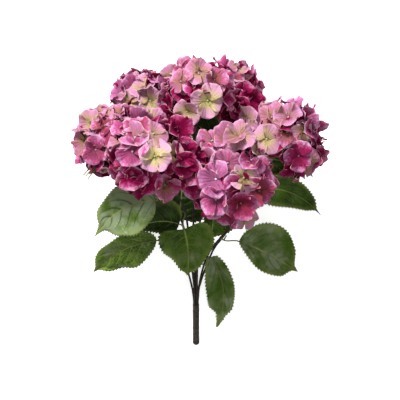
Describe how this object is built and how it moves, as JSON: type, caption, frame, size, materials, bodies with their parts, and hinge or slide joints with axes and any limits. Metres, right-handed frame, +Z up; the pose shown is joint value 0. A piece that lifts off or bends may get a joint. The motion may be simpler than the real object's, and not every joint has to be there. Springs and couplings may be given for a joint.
{
  "type": "artificial hydrangea bunch",
  "caption": "Artificial hydrangea bunch lying on its back: mauve fabric mophead flowers and serrated green leaves on dark stems bound in one moulded sleeve.",
  "frame": {"origin": "bottom centre of the bunch's box, on the surface that it lies on", "axes": "+Y from the sleeve's closed end towards the heads, +Z up, so the bunch's front faces up"},
  "size_m": [0.3878, 0.4624, 0.3211],
  "materials": {
    "petals": "soft matte cloth, mauve with cream centres and pale rims",
    "pedicels": "moulded, yellow green",
    "leaves": "pressed cloth with a soft sheen, veined",
    "stems": "dark brown coated wire, satin",
    "sleeve": "dark grey brown, rough moulded"
  },
  "bodies": {
    "root": {"stem_sleeve": "sleeve", "stem_top": "stems", "stem_right": "stems", "stem_front_right": "stems", "stem_front_left": "stems", "stem_left": "stems", "stem_rear_left": "stems", "stem_rear_right": "stems", "pedicels_top": "pedicels", "pedicels_right": "pedicels", "pedicels_front_right": "pedicels", "pedicels_front_left": "pedicels", "pedicels_left": "pedicels", "pedicels_rear_left": "pedicels", "pedicels_rear_right": "pedicels", "florets_top": "petals", "florets_right": "petals", "florets_front_right": "petals", "florets_front_left": "petals", "florets_left": "petals", "florets_rear_left": "petals", "florets_rear_right": "petals", "leaf_left_upper": "leaves", "leaf_left_lower": "leaves", "leaf_left_inner": "leaves", "leaf_front_centre": "leaves", "leaf_mid_inner": "leaves", "leaf_right_inner": "leaves", "leaf_hanging": "leaves", "leaf_right_lower": "leaves", "leaf_right_upper": "leaves", "leaf_right_outer": "leaves", "leaf_crown_centre": "leaves", "leaf_crown_left": "leaves", "leaf_rear_left": "leaves", "leaf_rear_right": "leaves"}
  },
  "joints": []
}
